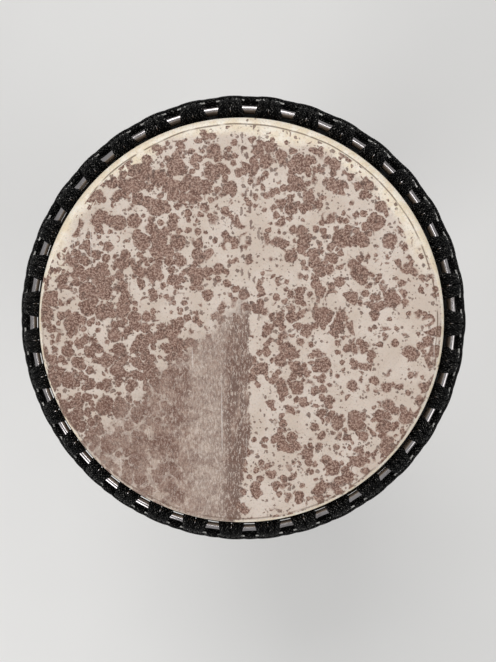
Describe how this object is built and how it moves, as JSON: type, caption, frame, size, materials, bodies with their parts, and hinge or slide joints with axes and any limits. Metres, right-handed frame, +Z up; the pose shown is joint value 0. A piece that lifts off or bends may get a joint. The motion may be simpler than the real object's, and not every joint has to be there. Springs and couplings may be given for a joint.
{
  "type": "goblet hand drum",
  "caption": "Rope-tuned wooden goblet hand drum with a natural spotted goatskin head, steel rings and black braided rope hitches, open at the foot.",
  "frame": {"origin": "centre of the foot's rim, on the surface that the drum stands on", "axes": "+Z up the drum's axis, from the foot to the playing surface; +X and +Y across the drum"},
  "size_m": [0.3765, 0.3766, 0.62],
  "materials": {
    "wood": "oiled hardwood, satin",
    "goatskin": "natural shaved goatskin, spotted, smooth",
    "steel": "polished bright",
    "black_steel": "black paint, slightly chipped",
    "rope": "black braided polyester, slight sheen"
  },
  "bodies": {
    "body": {"shell": "wood", "head_skin": "goatskin", "waist_ring": "steel", "waist_hitches": "rope", "waist_run_rope": "rope", "waist_loops": "rope", "tension_rope": "rope", "pull_row_rope": "rope", "rope_tail": "rope", "tail_knot": "rope"},
    "crown": {"crown_ring": "steel", "flesh_ring": "black_steel", "crown_hitches": "rope", "crown_run_rope": "rope", "crown_loops": "rope"}
  },
  "joints": [
    {"name": "tuning_slide", "type": "slide", "parent": "body", "child": "crown", "axis": [0, 0, -1], "range_m": [0, 0.006], "deforming": ["head_skin", "tension_rope"]}
  ]
}
